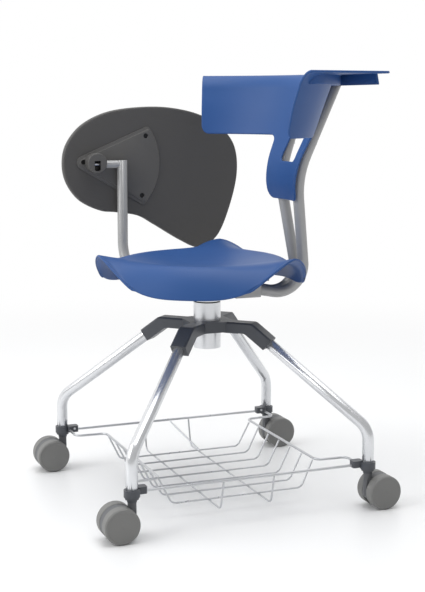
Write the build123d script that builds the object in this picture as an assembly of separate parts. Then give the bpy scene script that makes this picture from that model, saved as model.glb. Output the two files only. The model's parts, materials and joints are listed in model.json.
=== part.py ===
from build123d import *
import math
import os

# Student chair with a swivelling seat, a flip-over tablet arm, four twin-wheel casters and a
# wire basket. Millimetres, +Z up, sitter facing -Y, origin on the floor under the column.
# Left and right are the sitter's own: left is +X.

# ---- driving dimensions ---------------------------------------------------------------
TUBE_R = 11.1                # 7/8 in frame tube
TUBE_WALL = 1.6

# base
LEG_XY = 237.0               # leg foot and caster stem, from the column axis in X and in Y
LEG_FOOT_Z = 78.0
LEG_SLOPE = 36.5             # degrees below level
LEG_BEND_Z = 155.0
LEG_BEND_R = 45.0
LEG_INNER_R = 100.0          # radius at which the leg ends inside the hub arm
HUB_TOP_Z = 344.5
HUB_DEPTH = 21.0
HUB_HALF = 44.0              # half side of the square hub body
HUB_ARM_W = 32.0
HUB_ARM_HALF_DEPTH = 13.0
HUB_KNEE_R = 98.0
HUB_ARM_END_R = 133.0

# column
COLUMN_R = 27.0
COLUMN_WALL = 2.0
COLUMN_Z = (289.0, 380.0)
BUSH_FLANGE = 2.0
SPINDLE_R = 12.0
RUN_CLEAR = 0.05             # radial clearance of every running fit
SEAT_HUB_R = 24.0
SEAT_HUB_Z = 382.5

# casters
WHEEL_R = 33.0
WHEEL_W = 20.5
WHEEL_GAP = 16.0             # between the inner faces of the two wheels
WHEEL_FACE = WHEEL_GAP / 2 + WHEEL_W
CASTER_TRAIL = 25.7
HOOD_R = 32.0                # hood between the wheels, cut off level near the floor
HOOD_LOW_Z = 20.0
AXLE_R = 4.0
STEM_R = 5.5
STEM_TOP_Z = 112.0
CROWN_Z = (63.5, 68.5)       # ring that joins the stem to the caster frame
CLIP_R = 14.8
CLIP_Z = (77.0, 91.0)
EAR_Y = LEG_XY - 22.0        # inner face of the wire ears on the leg clips

# basket
RAIL_R = 2.5
WIRE_R = 1.8
RIM_Z = 84.0
RAIL_X = 228.0
RIM_Y = 161.0
RIM_HALF = 169.0
FLOOR_Z = 29.0
FLOOR_HALF_Y = 134.0
LONG_PITCH = 53.0
LONG_COUNT = 7
CROSS_Y = (-57.0, 45.0)
CROSS_HALF = 213.0
WIRE_BEND_R = 14.0
WELD_GAP = 0.05
CROSS_Z = FLOOR_Z - 2 * WIRE_R - WELD_GAP

# seat shell
SEAT_CENTRE_Y = -5.0
SEAT_T = 4.5
SEAT_DISH_Z = 458.0
SEAT_RISE = 25.0             # rise from the dish to the raised corners
SEAT_CORNER_R = 217.0
SEAT_FLAP_R = 196.0
SEAT_REAR_TRIM = 17.0        # the rear flap is shorter, to clear the back tubes
SEAT_DROOP = 66.0
SEAT_REAR_DROOP = 54.0
SEAT_ROLL_R = 140.0          # radius at which the flaps start to roll over
SEAT_GRID = 25
SEAT_BOSS_XY = 48.0
PLATE_Z = (424.0, 428.0)
PLATE_HALF = 66.0

# back: stations up the shell as (height, half width between wing tips, tip y, inner rear y)
BACK_STATIONS = (
    (572.0, 205.0, 48.0, 169.5),
    (612.0, 205.0, 50.0, 164.5),
    (655.0, 206.0, 58.0, 173.0),
    (705.0, 210.8, 69.6, 196.5),
    (760.0, 222.7, 75.4, 216.5),
    (796.0, 235.0, 81.0, 229.0),
)
BACK_T = 4.5
BACK_BOTTOM_Z = 577.0
WING_BOTTOM_Z = 705.0
WING_CORNER_R = 17.0
LEDGE_Z = 822.0              # underside of the ledge
LEDGE_REAR_Y = 262.0
LEDGE_HALF_X = 262.0
LEDGE_REAR_X = 250.0
STEM_HALF_W = 66.0
STEM_TOP_HALF_W = 81.0
SLOT_HALF_W = 32.0
SLOT_Z = (654.0, 734.0)
LIP_HALF_X = 232.0
LIP_Y = (243.0, 247.0)
LIP_DROP = 20.0
RIB_T = 9.0                  # overhang of the rib under the ledge beyond the back's outer face
RIB_HALF_ANGLE = 58.0
ROLL_START_Z = 796.0
ROLL_RISE = LEDGE_Z + BACK_T - ROLL_START_Z
ROLL_REACH = 30.0            # outward reach of the roll into the ledge
ROLL_LEAN = 0.3              # part of the roll's rise that it also leans outward

# back tubes
SADDLE_Y = (52.0, 104.0)
TUBE_BENDS = (52.0, 180.0)
BACK_SCREW_Z = (690.0, 780.0)

# tablet arm
ARM_X = -310.0
ARM_Y = -75.0
ARM_RUN_Z = 393.0
ARM_BEND_R = 80.0
ARM_START_R = 27.5
ARM_COLLAR_R = 31.0
ARM_COLLAR_Z = (384.5, 402.5)
FLIP_Z = 638.8               # height of the flip axis, which runs along Y
SPIN_Y = -133.0
SPIN_Z = 642.1               # the spin axis runs along X, a little above the flip axis
POST_TOP_Z = FLIP_Z + 8.0
STUB_R = 8.3
PIN_R = 4.5
PIN_IN_DRUM = 17.5
FLIP_HUB_R = 21.0
FLIP_HUB_X = (ARM_X - 13.0, ARM_X + 13.0)
WINDOW = (13.5, 21.8, 15.0)  # drum window: width, height, depth
WINDOW_TOP = 4.9             # above the spin axis
SPIGOT_R = 8.0
WASHER_R = 12.0
WASHER_T = 2.5
FACE_GAP = 0.3

# tablet: outline and screws as (rearward, upward) from a reference point by the spin axis
TABLET_Y = -134.7
TABLET_Z = 640.8
BRACKET_T = 5.0
TABLET_T = 17.0
TABLET_EDGE_R = 4.0
TABLET_POCKET = (14.0, 8.5)  # radius and depth
TABLET_OUTLINE = (
    (-66, 0), (-56, 42), (-22, 82), (35, 109), (109, 119.5), (180, 118), (250, 102), (304, 70),
    (333, 28), (337, -35), (316, -114), (288, -170), (247, -193), (203, -176), (140, -138),
    (102, -117), (52, -108), (15, -103), (-30, -80), (-58, -42),
)
SCREW_SPOTS = ((-22.0, 2.4), (119.0, 57.4), (109.3, -72.1))
SCREW_HOLE_R = 5.7

CORNERS = {
    "front_left": (1, -1),
    "front_right": (-1, -1),
    "rear_left": (1, 1),
    "rear_right": (-1, 1),
}


# ---- helpers --------------------------------------------------------------------------
def ring(radius, bore, z_low, z_high):
    """Upright ring between two heights."""
    height = z_high - z_low
    body = Pos(0, 0, z_low + height / 2) * Cylinder(radius, height)
    hole = Pos(0, 0, z_low + height / 2) * Cylinder(bore, height + 2)
    return body - hole


def rod(start, end, radius):
    """Round rod between two points."""
    a = Vector(*start)
    b = Vector(*end)
    plane = Plane(origin=a, z_dir=b - a)
    return extrude(plane * Circle(radius), (b - a).length)


def bent(points, radii, radius, bore=0.0):
    """Round bar or tube along straight runs joined by arcs."""
    path = FilletPolyline(*points, radius=radii)
    section = Circle(radius)
    if bore > 0:
        section = section - Circle(bore)
    return sweep(Plane(origin=path @ 0, z_dir=path % 0) * section, path=path)


def box_between(low, high):
    """Box from its lowest and highest corners."""
    size = [h - l for l, h in zip(low, high)]
    middle = [(h + l) / 2 for l, h in zip(low, high)]
    return Pos(*middle) * Box(*size)


def diagonal(sign, radius, z):
    """Point at a radius from the column axis, over one leg."""
    return (sign[0] * radius / math.sqrt(2), sign[1] * radius / math.sqrt(2), z)


def mirrored(shapes):
    """The shapes and their mirror images in the YZ plane."""
    return shapes + [mirror(shape, about=Plane.YZ) for shape in shapes]


def at_all_corners(shape):
    """A piece at the front left corner and its images at the other three."""
    pair = mirrored([shape])
    return pair + [mirror(piece, about=Plane.XZ) for piece in pair]


# ---- base -----------------------------------------------------------------------------
LEG_FOOT_R = LEG_XY * math.sqrt(2)


def leg_axis_z(radius):
    """Height of the sloping part of the leg's axis at a radius."""
    return LEG_BEND_Z + (LEG_FOOT_R - radius) * math.tan(math.radians(LEG_SLOPE))


def leg(sign):
    points = [
        diagonal(sign, LEG_INNER_R, leg_axis_z(LEG_INNER_R)),
        diagonal(sign, LEG_FOOT_R, LEG_BEND_Z),
        diagonal(sign, LEG_FOOT_R, LEG_FOOT_Z),
    ]
    return bent(points, LEG_BEND_R, TUBE_R, TUBE_R - TUBE_WALL)


def hub_arm():
    """One arm of the hub, along +X, cut off square to the leg."""
    slope = math.radians(LEG_SLOPE)
    normal = (HUB_ARM_HALF_DEPTH * math.sin(slope), HUB_ARM_HALF_DEPTH * math.cos(slope))
    end_z = leg_axis_z(HUB_ARM_END_R)
    end_top = (HUB_ARM_END_R + normal[0], end_z + normal[1])
    end_low = (HUB_ARM_END_R - normal[0], end_z - normal[1])
    floor_z = HUB_TOP_Z - HUB_DEPTH
    knee = end_top[0] - (HUB_TOP_Z - end_top[1]) / math.tan(slope)
    root = end_low[0] - (floor_z - end_low[1]) / math.tan(slope)
    outline = Polyline(
        (0, HUB_TOP_Z), (knee, HUB_TOP_Z), end_top, end_low, (root, floor_z), (0, floor_z),
        close=True,
    )
    face = make_face(Plane.XZ * outline)
    arm = extrude(face, HUB_ARM_W / 2, both=True)
    knees = [e for e in arm.edges().filter_by(Axis.Y) if abs(e.center().X - knee) < 1
             or abs(e.center().X - root) < 1]
    arm = fillet(knees, 14)
    crown = [e for e in arm.edges() if abs(abs(e.center().Y) - HUB_ARM_W / 2) < 0.1
             and e.center().Z > leg_axis_z(max(e.center().X, HUB_KNEE_R))]
    return chamfer(crown, 3)


def hub_spider():
    body = box_between(
        (-HUB_HALF, -HUB_HALF, HUB_TOP_Z - HUB_DEPTH), (HUB_HALF, HUB_HALF, HUB_TOP_Z))
    for turn in (45, 135, 225, 315):
        body = body + Rot(0, 0, turn) * hub_arm()
    for sign in CORNERS.values():
        inner = diagonal(sign, LEG_INNER_R, leg_axis_z(LEG_INNER_R))
        outer = diagonal(sign, LEG_FOOT_R, LEG_BEND_Z)
        body = body - rod(inner, outer, TUBE_R + 0.02)
    for screw in hub_screws():
        body = body - screw
    return body - Pos(0, 0, HUB_TOP_Z) * Cylinder(COLUMN_R + 0.02, 4 * HUB_DEPTH)


def hub_screws():
    """Grub screws from below that lock the legs in the hub arms."""
    screws = []
    for sign in CORNERS.values():
        radius = 112.0
        axis_z = leg_axis_z(radius)
        slope = math.radians(LEG_SLOPE)
        face = HUB_ARM_HALF_DEPTH + 1.4
        tip = TUBE_R + 0.05
        start = diagonal(sign, radius - face * math.sin(slope), axis_z - face * math.cos(slope))
        end = diagonal(sign, radius - tip * math.sin(slope), axis_z - tip * math.cos(slope))
        screws.append(rod(start, end, 3.0))
    return screws


def column_sleeve():
    return ring(COLUMN_R, COLUMN_R - COLUMN_WALL, *COLUMN_Z)


def column_cap():
    low = COLUMN_Z[0]
    inner = COLUMN_R - COLUMN_WALL
    disc = ring(inner, SPINDLE_R + 4, low + 1, low + 4)
    return disc + ring(inner, inner - 3, low + 4, low + 9)


def column_bushes():
    """Two plain bearings pressed into the sleeve; the upper one has a flange."""
    bore = SPINDLE_R + RUN_CLEAR
    inner = COLUMN_R - COLUMN_WALL
    lower = ring(inner, bore, COLUMN_Z[0] + 9, COLUMN_Z[0] + 29)
    upper = ring(inner, bore, COLUMN_Z[1] - 24, COLUMN_Z[1])
    flange = ring(COLUMN_R - 1.5, bore, COLUMN_Z[1], COLUMN_Z[1] + BUSH_FLANGE)
    return [lower, upper + flange]


def leg_clip():
    """Plastic collar round the foot of the front left leg, with its wire ear."""
    collar = ring(CLIP_R, TUBE_R + 0.02, CLIP_Z[0] + 1, CLIP_Z[1])
    neck = ring(9.0, STEM_R, CLIP_Z[0] - 8, CLIP_Z[0]) + ring(12.6, STEM_R, CLIP_Z[0] - 3, CLIP_Z[0] + 1)
    ear = box_between((-19, 8, CLIP_Z[0] + 3), (-1, 30, CLIP_Z[1] + 2))
    ear = fillet(ear.edges().filter_by(Axis.Z), 3.5)
    ear = ear - Pos(0, 0, 84) * Cylinder(TUBE_R + 0.02, 40)
    clip = collar + neck + ear
    clip = clip - Pos(0, 0, CLIP_Z[0]) * Cylinder(STEM_R + 0.5, 60)
    clip = clip - Pos(0, 0, LEG_FOOT_Z + 20) * Cylinder(TUBE_R + 0.02, 40)
    return Pos(LEG_XY, -LEG_XY, 0) * clip


def leg_clips():
    wires = side_rails() + rim_hooks()
    clip = leg_clip()
    for wire in wires:
        clip = clip - wire
    clip = clip - clip_screw()
    return at_all_corners(clip)


def clip_screw():
    """Screw that closes the ear of the front left clip on its wires."""
    x = LEG_XY - 15.6
    y = LEG_XY - 21
    return rod((x - 2.5, -y, 88), (x - 5.2, -y, 88), 2.4)


def clip_screws():
    return at_all_corners(clip_screw())


def caster_sockets():
    """Stem sockets pressed into the leg feet."""
    socket = ring(TUBE_R - TUBE_WALL, STEM_R + RUN_CLEAR, LEG_FOOT_Z, STEM_TOP_Z - 2)
    return [Pos(sx * LEG_XY, sy * LEG_XY, 0) * socket for sx, sy in CORNERS.values()]


# ---- casters --------------------------------------------------------------------------
def caster_frame():
    """Hood between the wheels with the upright stem post, trailing to -Y."""
    half = (WHEEL_GAP - 1) / 2
    disc = Pos(0, -CASTER_TRAIL, WHEEL_R) * Rot(0, 90, 0) * Cylinder(HOOD_R, 2 * half)
    disc = disc - box_between((-10, -CASTER_TRAIL - 40, -10), (10, 20, HOOD_LOW_Z))
    web = box_between((-half, -CASTER_TRAIL, HOOD_LOW_Z), (half, 6, 58))
    web = fillet(web.edges().filter_by(Axis.X), 5)
    post = Pos(0, 0, (CROWN_Z[0] + 24) / 2) * Cylinder(8.0, CROWN_Z[0] - 24)
    post = post & box_between((-half, -30, 0), (half, 30, CROWN_Z[0]))
    crown = ring(8.0, STEM_R, *CROWN_Z)
    core = Pos(0, -CASTER_TRAIL, WHEEL_R) * Rot(0, 90, 0) * Cylinder(HOOD_R - 17, 2 * half)
    body = disc + core + web + post + crown
    bore = Pos(0, -CASTER_TRAIL, WHEEL_R) * Rot(0, 90, 0) * Cylinder(AXLE_R, 40)
    return body - bore


def caster_stem():
    low = CROWN_Z[0]
    shank = Pos(0, 0, (low + STEM_TOP_Z - 6) / 2) * Cylinder(STEM_R, STEM_TOP_Z - 6 - low)
    tip = Pos(0, 0, STEM_TOP_Z - 4) * Cone(STEM_R, STEM_R - 2, 4)
    return shank + tip


def caster_axle():
    return Pos(0, -CASTER_TRAIL, WHEEL_R) * Rot(0, 90, 0) * Cylinder(AXLE_R, 2 * WHEEL_FACE - 6)


def wheel():
    """Wheel on the +X side: rounded tread, hooded hub hollow and a shallow dished face."""
    profile = Polyline(
        (AXLE_R + RUN_CLEAR, WHEEL_GAP / 2),
        (11, WHEEL_GAP / 2),
        (11, WHEEL_GAP / 2 + 8),
        (WHEEL_R - 5, WHEEL_GAP / 2 + 8),
        (WHEEL_R - 5, WHEEL_GAP / 2),
        (WHEEL_R - 1, WHEEL_GAP / 2),
        (WHEEL_R, WHEEL_GAP / 2 + 1.2),
        (WHEEL_R, WHEEL_FACE - 2.5),
        (WHEEL_R - 2, WHEEL_FACE - 0.4),
        (WHEEL_R - 4, WHEEL_FACE),
        (WHEEL_R - 6.5, WHEEL_FACE - 0.6),
        (0, WHEEL_FACE - 0.1),
        (0, WHEEL_FACE - 2.9),
        (AXLE_R + RUN_CLEAR, WHEEL_FACE - 2.9),
        close=True,
    )
    half = make_face(Plane.YX * profile)
    solid = revolve(half, Axis.X, 360)
    return Pos(0, -CASTER_TRAIL, WHEEL_R) * solid


# ---- basket ---------------------------------------------------------------------------
def side_rails():
    rail = rod((RAIL_X, -EAR_Y, RIM_Z), (RAIL_X, EAR_Y, RIM_Z), RAIL_R)
    return mirrored([rail])


def rim_bars():
    half = RIM_HALF - WIRE_BEND_R
    bar = rod((-half, RIM_Y, RIM_Z), (half, RIM_Y, RIM_Z), RAIL_R)
    return [bar, mirror(bar, about=Plane.XZ)]


def rim_hooks():
    """Ends of the two end rims, from the straight bar out to the clips on the legs."""
    points = [
        (RIM_HALF - WIRE_BEND_R, -RIM_Y, RIM_Z),
        (RIM_HALF, -RIM_Y, RIM_Z),
        (RIM_HALF + 4, -LEG_XY + 12, RIM_Z),
        (LEG_XY - 14, -LEG_XY + 12, RIM_Z),
    ]
    return at_all_corners(bent(points, (WIRE_BEND_R - 0.5, WIRE_BEND_R), RAIL_R))


def long_stations():
    """Places across the basket of the lengthwise wires."""
    middle = (LONG_COUNT - 1) / 2
    return [(i - middle) * LONG_PITCH for i in range(LONG_COUNT)]


def floor_wires():
    half = FLOOR_HALF_Y - 2 * WIRE_BEND_R
    return [rod((x, -half, FLOOR_Z), (x, half, FLOOR_Z), WIRE_R) for x in long_stations()]


def end_wires():
    """Upturned ends of the lengthwise wires, up to the underside of the rims."""
    wires = []
    top_z = RIM_Z - RAIL_R - 1.0
    for x in long_stations():
        x_top = min(max(x, -RIM_HALF + WIRE_BEND_R), RIM_HALF - WIRE_BEND_R)
        points = [
            (x, FLOOR_HALF_Y - 2 * WIRE_BEND_R, FLOOR_Z),
            (x, FLOOR_HALF_Y, FLOOR_Z),
            (x_top, RIM_Y - 1.5, top_z),
        ]
        wire = bent(points, WIRE_BEND_R, WIRE_R)
        wires = wires + [wire, mirror(wire, about=Plane.XZ)]
    return wires


def cross_wires():
    half = CROSS_HALF - 2 * WIRE_BEND_R
    return [rod((-half, y, CROSS_Z), (half, y, CROSS_Z), WIRE_R) for y in CROSS_Y]


def cross_ends():
    ends = []
    for y in CROSS_Y:
        points = [
            (CROSS_HALF - 2 * WIRE_BEND_R, y, CROSS_Z),
            (CROSS_HALF, y, CROSS_Z),
            (RAIL_X - 1.0, y, RIM_Z - RAIL_R - 0.6),
        ]
        ends = ends + mirrored([bent(points, WIRE_BEND_R, WIRE_R)])
    return ends


def basket_brace():
    """Single slanting wire from the right side rail to the rear cross wire."""
    start = (-RAIL_X + 4.0, 2.0, RIM_Z - 3.0)
    return rod(start, (-146.0, CROSS_Y[1] - 5.0, FLOOR_Z + 3.0), WIRE_R)


# ---- seat -----------------------------------------------------------------------------
def flap_weight(angle):
    """0 at the three raised corners, 1 at the middle of the three flaps."""
    return (1 - math.cos(3 * (angle + math.pi / 2))) / 2


def rear_weight(angle):
    """1 at the middle of the rear flap, fading to 0 at the sides."""
    return max(0.0, math.sin(angle)) ** 4


def seat_radius(angle):
    """Outline of the seat about its own centre."""
    radius = SEAT_CORNER_R - (SEAT_CORNER_R - SEAT_FLAP_R) * flap_weight(angle)
    return radius - SEAT_REAR_TRIM * rear_weight(angle)


def seat_height(x, y):
    """Height of the upper face of the seat at a point."""
    radius = math.hypot(x, y - SEAT_CENTRE_Y)
    angle = math.atan2(y - SEAT_CENTRE_Y, x)
    dish = SEAT_DISH_Z + SEAT_RISE * (radius / SEAT_CORNER_R) ** 2
    rear = rear_weight(angle)
    flap_r = SEAT_FLAP_R - SEAT_REAR_TRIM * rear
    droop = SEAT_DROOP - (SEAT_DROOP - SEAT_REAR_DROOP) * rear
    roll = max(0.0, (radius - SEAT_ROLL_R) / (flap_r - SEAT_ROLL_R)) ** 2.2
    return dish - droop * flap_weight(angle) ** 0.8 * min(roll, 1.5)


def seat_outline(offset=0.0, steps=48):
    points = []
    for i in range(steps):
        angle = 2 * math.pi * i / steps
        radius = seat_radius(angle) + offset
        points.append((radius * math.cos(angle), SEAT_CENTRE_Y + radius * math.sin(angle)))
    return Spline(*points, periodic=True)


def seat_face():
    """Upper face of the seat, trimmed to its outline."""
    reach = SEAT_CORNER_R + 8
    rows = []
    for i in range(SEAT_GRID):
        x = -reach + 2 * reach * i / (SEAT_GRID - 1)
        row = []
        for j in range(SEAT_GRID):
            y = SEAT_CENTRE_Y - reach + 2 * reach * j / (SEAT_GRID - 1)
            row.append(Vector(x, y, seat_height(x, y)))
        rows.append(row)
    sheet = Face.make_surface_from_array_of_points(rows, tol=0.8, min_deg=3, max_deg=3)
    prism = extrude(Pos(0, 0, 380) * make_face(seat_outline()), 140)
    return (sheet & prism).faces()[0]


def seat_bosses():
    """Places of the four screw bosses under the seat."""
    both = (-SEAT_BOSS_XY, SEAT_BOSS_XY)
    return [(x, y) for x in both for y in both]


def seat_shell():
    shell = Solid.thicken(seat_face(), -SEAT_T)
    for x, y in seat_bosses():
        top = seat_height(x, y) - SEAT_T + 1.5
        boss = Pos(x, y, (PLATE_Z[1] + top) / 2) * Cylinder(9, top - PLATE_Z[1])
        shell = shell + boss - Pos(x, y, PLATE_Z[1]) * Cylinder(2.55, 24.2)
    return shell


def seat_plate():
    plate = box_between(
        (-PLATE_HALF, -PLATE_HALF, PLATE_Z[0]), (PLATE_HALF, PLATE_HALF + 44, PLATE_Z[1]))
    plate = fillet(plate.edges().filter_by(Axis.Z), 14)
    for x, y in seat_bosses():
        plate = plate - Pos(x, y, PLATE_Z[0]) * Cylinder(2.55, 20)
    return plate - Pos(0, 0, PLATE_Z[0]) * Cylinder(SPINDLE_R, 20)


def seat_spindle():
    low = COLUMN_Z[0] + 6
    return Pos(0, 0, (low + PLATE_Z[1]) / 2) * Cylinder(SPINDLE_R, PLATE_Z[1] - low)


def seat_hub():
    """Hub under the seat plate; its lower lip carries the collar of the tablet arm."""
    hub = ring(SEAT_HUB_R, SPINDLE_R, SEAT_HUB_Z, PLATE_Z[0])
    return hub + ring(SEAT_HUB_R + 2, SPINDLE_R, SEAT_HUB_Z, ARM_COLLAR_Z[0] - FACE_GAP)


def seat_screws():
    screws = []
    for x, y in seat_bosses():
        head = Pos(x, y, PLATE_Z[0] - 1.6) * Cylinder(5.0, 3.2)
        shank = Pos(x, y, PLATE_Z[0] + 7) * Cylinder(2.5, 16)
        screws.append(head + shank)
    return screws


# ---- back -----------------------------------------------------------------------------
def tube_points(side):
    """Corner points of one back tube, from under the seat up into the ledge."""
    return [
        (side * 15, 60, 409),
        (side * 13, 210, 380),
        (side * 40.5, 175.2, 625.5),
        (side * 66.5, 244.5, 806),
    ]


def back_tube(side):
    tube = bent(tube_points(side), TUBE_BENDS, TUBE_R, TUBE_R - TUBE_WALL)
    for screw in back_screws_on(side):
        tube = tube - screw
    return tube


def back_screws_on(side):
    """Countersunk screws through one back tube into the shell, from behind."""
    low, high = tube_points(side)[-2:]
    screws = []
    for z in BACK_SCREW_Z:
        t = (z - low[2]) / (high[2] - low[2])
        x = low[0] + (high[0] - low[0]) * t
        y = low[1] + (high[1] - low[1]) * t
        head = rod((x, y + TUBE_R + 0.3, z), (x, y + TUBE_R - 2.5, z), 4.0)
        screws.append(head + rod((x, y + TUBE_R, z), (x, y - TUBE_R - 1, z), 2.5))
    return screws


def back_screws():
    return back_screws_on(-1) + back_screws_on(1)


def tube_saddle():
    """Block that clamps both tubes under the seat plate."""
    block = box_between((-30, SADDLE_Y[0], 386), (30, SADDLE_Y[1], PLATE_Z[0]))
    block = fillet(block.edges().filter_by(Axis.Y), 6)
    for side in (-1, 1):
        points = tube_points(side)
        direction = Vector(*points[1]) - Vector(*points[0])
        start = Vector(*points[0]) - direction * 0.2
        block = block - rod(tuple(start), points[1], TUBE_R + 0.02)
    return block


def blend(stations, z, column):
    """Smooth value between the stations at a height."""
    heights = [row[0] for row in stations]
    z = min(max(z, heights[0]), heights[-1])
    i = max(k for k in range(len(heights) - 1) if heights[k] <= z)
    before = stations[max(i - 1, 0)]
    low = stations[i]
    high = stations[i + 1]
    after = stations[min(i + 2, len(stations) - 1)]
    span = high[0] - low[0]
    t = (z - low[0]) / span
    slope_low = span * (high[column] - before[column]) / (high[0] - before[0])
    slope_high = span * (after[column] - low[column]) / (after[0] - low[0])
    return (low[column] * (2 * t**3 - 3 * t**2 + 1) + slope_low * (t**3 - 2 * t**2 + t)
            + high[column] * (3 * t**2 - 2 * t**3) + slope_high * (t**3 - t**2))


def band_arc(z):
    """Radius, centre y and half angle of the inner face of the back at a height."""
    half = blend(BACK_STATIONS, z, 1)
    tip_y = blend(BACK_STATIONS, z, 2)
    rear_y = blend(BACK_STATIONS, z, 3)
    depth = rear_y - tip_y
    radius = (depth**2 + half**2) / (2 * depth)
    return radius, rear_y - radius, math.atan2(half, tip_y - rear_y + radius)


def back_point(u, v):
    """Sitter's side of the back: u is -1 to 1 between the tips, v rises, then runs out."""
    radius, centre_y, half_angle = band_arc(min(v, ROLL_START_Z))
    turn = u * half_angle
    arc = ROLL_RISE * math.pi / 2
    along = max(0.0, v - ROLL_START_Z)
    angle = min(along / arc, 1.0) * math.pi / 2
    height = min(v, ROLL_START_Z) + ROLL_RISE * math.sin(angle)
    lean = ROLL_LEAN * ROLL_RISE
    out = lean * math.sin(angle) + (ROLL_REACH - lean) * (1 - math.cos(angle))
    out = out + max(0.0, along - arc)
    reach = radius + out
    return Vector(reach * math.sin(turn), centre_y + reach * math.cos(turn), height)


def back_surface(u_limits, v_values, u_count):
    rows = []
    for i in range(u_count):
        u = u_limits[0] + (u_limits[1] - u_limits[0]) * i / (u_count - 1)
        rows.append([back_point(u, v) for v in v_values])
    return Face.make_surface_from_array_of_points(rows, tol=0.2, min_deg=3, max_deg=5)


def front_prism():
    """T-shaped outline of the back seen from the front, as a cutter along Y."""
    wide = 400.0
    half = Polyline(
        (0, BACK_BOTTOM_Z), (STEM_HALF_W - 4, BACK_BOTTOM_Z), (STEM_HALF_W, 612),
        (STEM_TOP_HALF_W, WING_BOTTOM_Z), (wide, WING_BOTTOM_Z), (wide, 900), (0, 900),
        close=True,
    )
    prism = extrude(make_face(Plane.XZ * half), 400, both=True)
    edges = prism.edges().filter_by(Axis.Y)
    low = [e for e in edges if abs(e.center().Z - BACK_BOTTOM_Z) < 1 and e.center().X > 10]
    prism = fillet(low, 24)
    edges = prism.edges().filter_by(Axis.Y)
    inner = [e for e in edges
             if abs(e.center().Z - WING_BOTTOM_Z) < 1 and e.center().X < 100]
    prism = fillet(inner, 16)
    return prism + mirror(prism, about=Plane.YZ)


def wing_corner_cutters():
    """What rounds off the lower front corners of the two wings."""
    half = blend(BACK_STATIONS, WING_BOTTOM_Z, 1)
    tip_y = blend(BACK_STATIONS, WING_BOTTOM_Z, 2)
    turn = math.degrees(math.atan2(tip_y - band_arc(WING_BOTTOM_Z)[1], half))
    r = WING_CORNER_R
    square = Pos(0, r / 2 - 10, r / 2 - 10) * Box(60, r + 20, r + 20)
    cutter = square - Pos(0, r, r) * Rot(0, 90, 0) * Cylinder(r, 62)
    return mirrored([Pos(half, tip_y, WING_BOTTOM_Z) * Rot(0, 0, turn) * cutter])


def hand_slot():
    slot = box_between((-SLOT_HALF_W, 60, SLOT_Z[0]), (SLOT_HALF_W, 320, SLOT_Z[1]))
    return fillet(slot.edges().filter_by(Axis.Y), 10)


def ledge_rib():
    """Rib under the ledge that follows the outer face of the back."""
    low = LEDGE_Z - LIP_DROP
    radius, centre_y, half_angle = band_arc(low)
    outer = radius + BACK_T + RIB_T
    plate = Pos(0, 0, low + LIP_DROP / 2) * Cylinder(outer, LIP_DROP)
    plate = plate - Pos(0, 0, low) * Cylinder(outer - RIB_T - 2, 3 * LIP_DROP)
    reach = 2 * outer
    spread = reach * math.tan(math.radians(RIB_HALF_ANGLE))
    wedge = make_face(Polyline((0, 0), (-spread, reach), (spread, reach), close=True))
    return Pos(0, centre_y, 0) * (plate & extrude(Pos(0, 0, 700) * wedge, 200))


def ledge_prism():
    """Plan outline of the ledge, as an upright cutter."""
    outline = Polyline(
        (0, 0), (LEDGE_HALF_X - 12, 0), (LEDGE_HALF_X, 90), (LEDGE_REAR_X, LEDGE_REAR_Y),
        (-LEDGE_REAR_X, LEDGE_REAR_Y), (-LEDGE_HALF_X, 90), (-LEDGE_HALF_X + 12, 0),
        close=True,
    )
    prism = extrude(Pos(0, 0, 500) * make_face(outline), 400)
    corners = [e for e in prism.edges().filter_by(Axis.Z) if e.center().Y > 200]
    return fillet(corners, 8)


def back_face():
    """Sitter's side of the back and ledge, trimmed to its outline."""
    heights = [566 + 10 * i for i in range(23)]
    arc = ROLL_RISE * math.pi / 2
    heights = heights + [ROLL_START_Z + arc * k / 6 for k in range(7)]
    heights = heights + [ROLL_START_Z + arc + 16 * k for k in range(1, 7)]
    sheet = back_surface((-1, 1), heights, 41)
    trimmed = sheet & front_prism()
    trimmed = trimmed.faces()[0] & ledge_prism()
    return trimmed.faces()[0] - hand_slot()


def back_shell():
    face = back_face().faces()[0]
    outward = 1 if face.normal_at(face.center()).Y > 0 else -1
    shell = Solid.thicken(face, outward * BACK_T)
    for cutter in wing_corner_cutters():
        shell = shell - cutter
    lip = box_between(
        (-LIP_HALF_X, LIP_Y[0], LEDGE_Z - LIP_DROP), (LIP_HALF_X, LIP_Y[1], LEDGE_Z + 1))
    shell = shell + ledge_rib() + lip
    for side in (-1, 1):
        shell = shell - bent(tube_points(side), TUBE_BENDS, TUBE_R + 0.02)
        for screw in back_screws_on(side):
            shell = shell - screw
    return shell


# ---- tablet arm -----------------------------------------------------------------------
def arm_points():
    """Corner points of the arm: out under the seat, then up."""
    scale = ARM_START_R / math.hypot(ARM_X, ARM_Y)
    return [
        (ARM_X * scale, ARM_Y * scale, ARM_RUN_Z),
        (ARM_X, ARM_Y, ARM_RUN_Z),
        (ARM_X, ARM_Y, POST_TOP_Z),
    ]


def arm_tube():
    tube = bent(arm_points(), ARM_BEND_R, TUBE_R, TUBE_R - TUBE_WALL)
    cap = Pos(ARM_X, ARM_Y, POST_TOP_Z - 2) * Cylinder(TUBE_R, 4)
    tube = tube + cap
    rim = tube.edges().filter_by(GeomType.CIRCLE).sort_by(Axis.Z)[-1]
    return fillet(rim, 2.5)


def arm_collar():
    """Collar that carries the arm and turns on the hub of the seat."""
    collar = ring(ARM_COLLAR_R, SEAT_HUB_R + RUN_CLEAR, *ARM_COLLAR_Z)
    points = arm_points()
    return collar - rod(points[0], points[1], TUBE_R + 0.02)


def flip_axis(start, end, radius):
    """Round bar on the flip axis, between two distances in front of the post."""
    return rod((ARM_X, ARM_Y - start, FLIP_Z), (ARM_X, ARM_Y - end, FLIP_Z), radius)


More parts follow.
